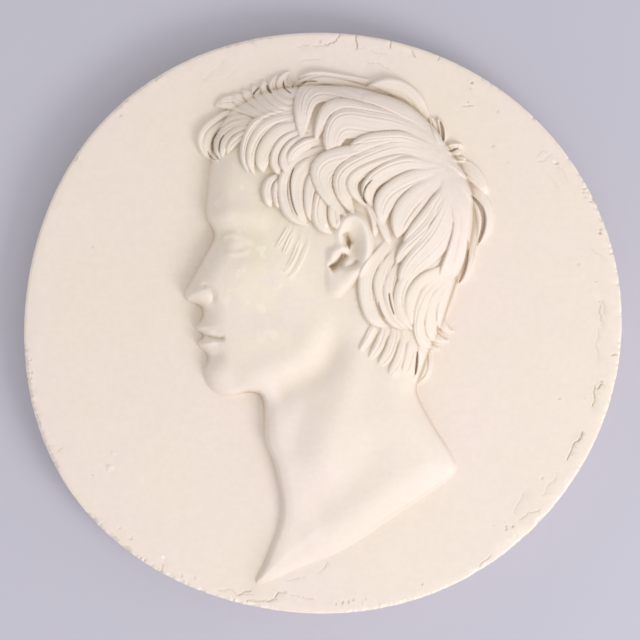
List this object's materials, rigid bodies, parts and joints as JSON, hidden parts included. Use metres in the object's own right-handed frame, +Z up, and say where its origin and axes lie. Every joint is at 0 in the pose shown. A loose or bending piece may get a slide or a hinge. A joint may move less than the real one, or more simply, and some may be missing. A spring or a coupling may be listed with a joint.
{
  "type": "relief plaque",
  "caption": "Round plaster wall plaque with a head in profile in relief, facing left, with short wavy hair and a bare neck, on a plain ground.",
  "frame": {"origin": "middle of the disc's flat back, where it lies against the wall", "axes": "+Z up the wall, +Y into the wall, the front of the relief looks along -Y"},
  "size_m": [0.4583, 0.0656, 0.4456],
  "materials": {
    "plaster": "matte"
  },
  "bodies": {
    "root": {"relief_plaque": "plaster"}
  },
  "joints": []
}
